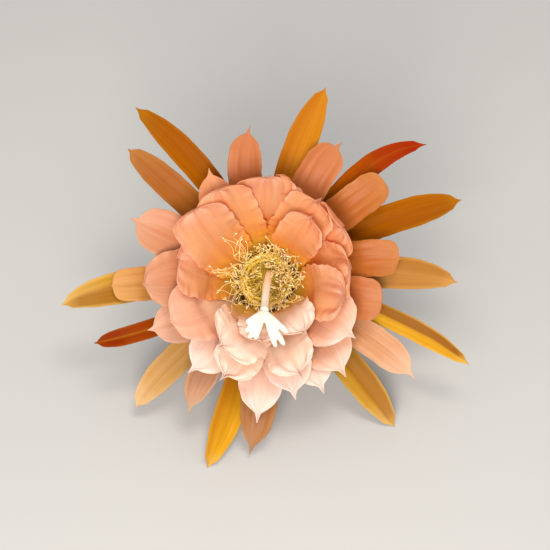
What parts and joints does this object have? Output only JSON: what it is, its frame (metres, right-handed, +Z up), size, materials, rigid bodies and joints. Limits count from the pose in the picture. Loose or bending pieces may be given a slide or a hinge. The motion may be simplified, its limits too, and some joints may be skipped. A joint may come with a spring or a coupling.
{
  "type": "orchid cactus bloom",
  "caption": "Open orchid cactus bloom lying on its floral tube: narrow golden outer rays, a bowl of peach petals, a tuft of stamens and a style with spread stigma lobes.",
  "frame": {"origin": "middle of the footprint of the bloom's bounding box, on the surface it lies on", "axes": "+X across the widest spread of the rays, +Z up, and the face of the bloom looks half way between -Y and +Z"},
  "size_m": [0.1808, 0.1221, 0.1164],
  "materials": {
    "tepal_red_orange": "soft satin, living plant tissue",
    "tepal_gold": "soft satin, living plant tissue",
    "tepal_gold_peach": "soft satin, living plant tissue",
    "tepal_peach": "soft satin, living plant tissue",
    "tepal_pink_peach": "soft satin, living plant tissue",
    "tepal_pale": "soft satin, living plant tissue",
    "floral_tube": "soft satin, living plant tissue",
    "style": "soft satin, living plant tissue",
    "stamens": "soft satin, living plant tissue"
  },
  "bodies": {
    "root": {"outer_tepal_01": "tepal_red_orange", "outer_tepal_02": "tepal_gold", "outer_tepal_03": "tepal_red_orange", "outer_tepal_04": "tepal_gold", "outer_tepal_05": "tepal_gold", "outer_tepal_06": "tepal_gold", "outer_tepal_07": "tepal_gold", "outer_tepal_08": "tepal_gold", "outer_tepal_09": "tepal_gold", "outer_tepal_10": "tepal_gold_peach", "outer_tepal_11": "tepal_gold_peach", "outer_tepal_12": "tepal_gold_peach", "middle_tepal_01": "tepal_gold_peach", "middle_tepal_02": "tepal_peach", "middle_tepal_03": "tepal_pink_peach", "middle_tepal_04": "tepal_peach", "middle_tepal_05": "tepal_pink_peach", "middle_tepal_06": "tepal_peach", "middle_tepal_07": "tepal_pink_peach", "middle_tepal_08": "tepal_peach", "middle_tepal_09": "tepal_peach", "middle_tepal_10": "tepal_pink_peach", "middle_tepal_11": "tepal_peach", "middle_tepal_12": "tepal_pink_peach", "inner_tepal_01": "tepal_pink_peach", "inner_tepal_02": "tepal_pale", "inner_tepal_03": "tepal_pale", "inner_tepal_04": "tepal_pink_peach", "inner_tepal_05": "tepal_pale", "inner_tepal_06": "tepal_pale", "inner_tepal_07": "tepal_pale", "inner_tepal_08": "tepal_pink_peach", "inner_tepal_09": "tepal_peach", "inner_tepal_10": "tepal_pale", "inner_tepal_11": "tepal_pale", "inner_tepal_12": "tepal_pink_peach", "inner_tepal_13": "tepal_pink_peach", "inner_tepal_14": "tepal_peach", "inner_tepal_15": "tepal_peach", "inner_tepal_16": "tepal_peach", "inner_tepal_17": "tepal_peach", "inner_tepal_18": "tepal_pink_peach", "inner_tepal_19": "tepal_pale", "inner_tepal_20": "tepal_pink_peach", "inner_tepal_21": "tepal_peach", "inner_tepal_22": "tepal_pale", "inner_tepal_23": "tepal_pale", "floral_tube": "floral_tube", "style": "style", "stamens": "stamens"}
  },
  "joints": []
}
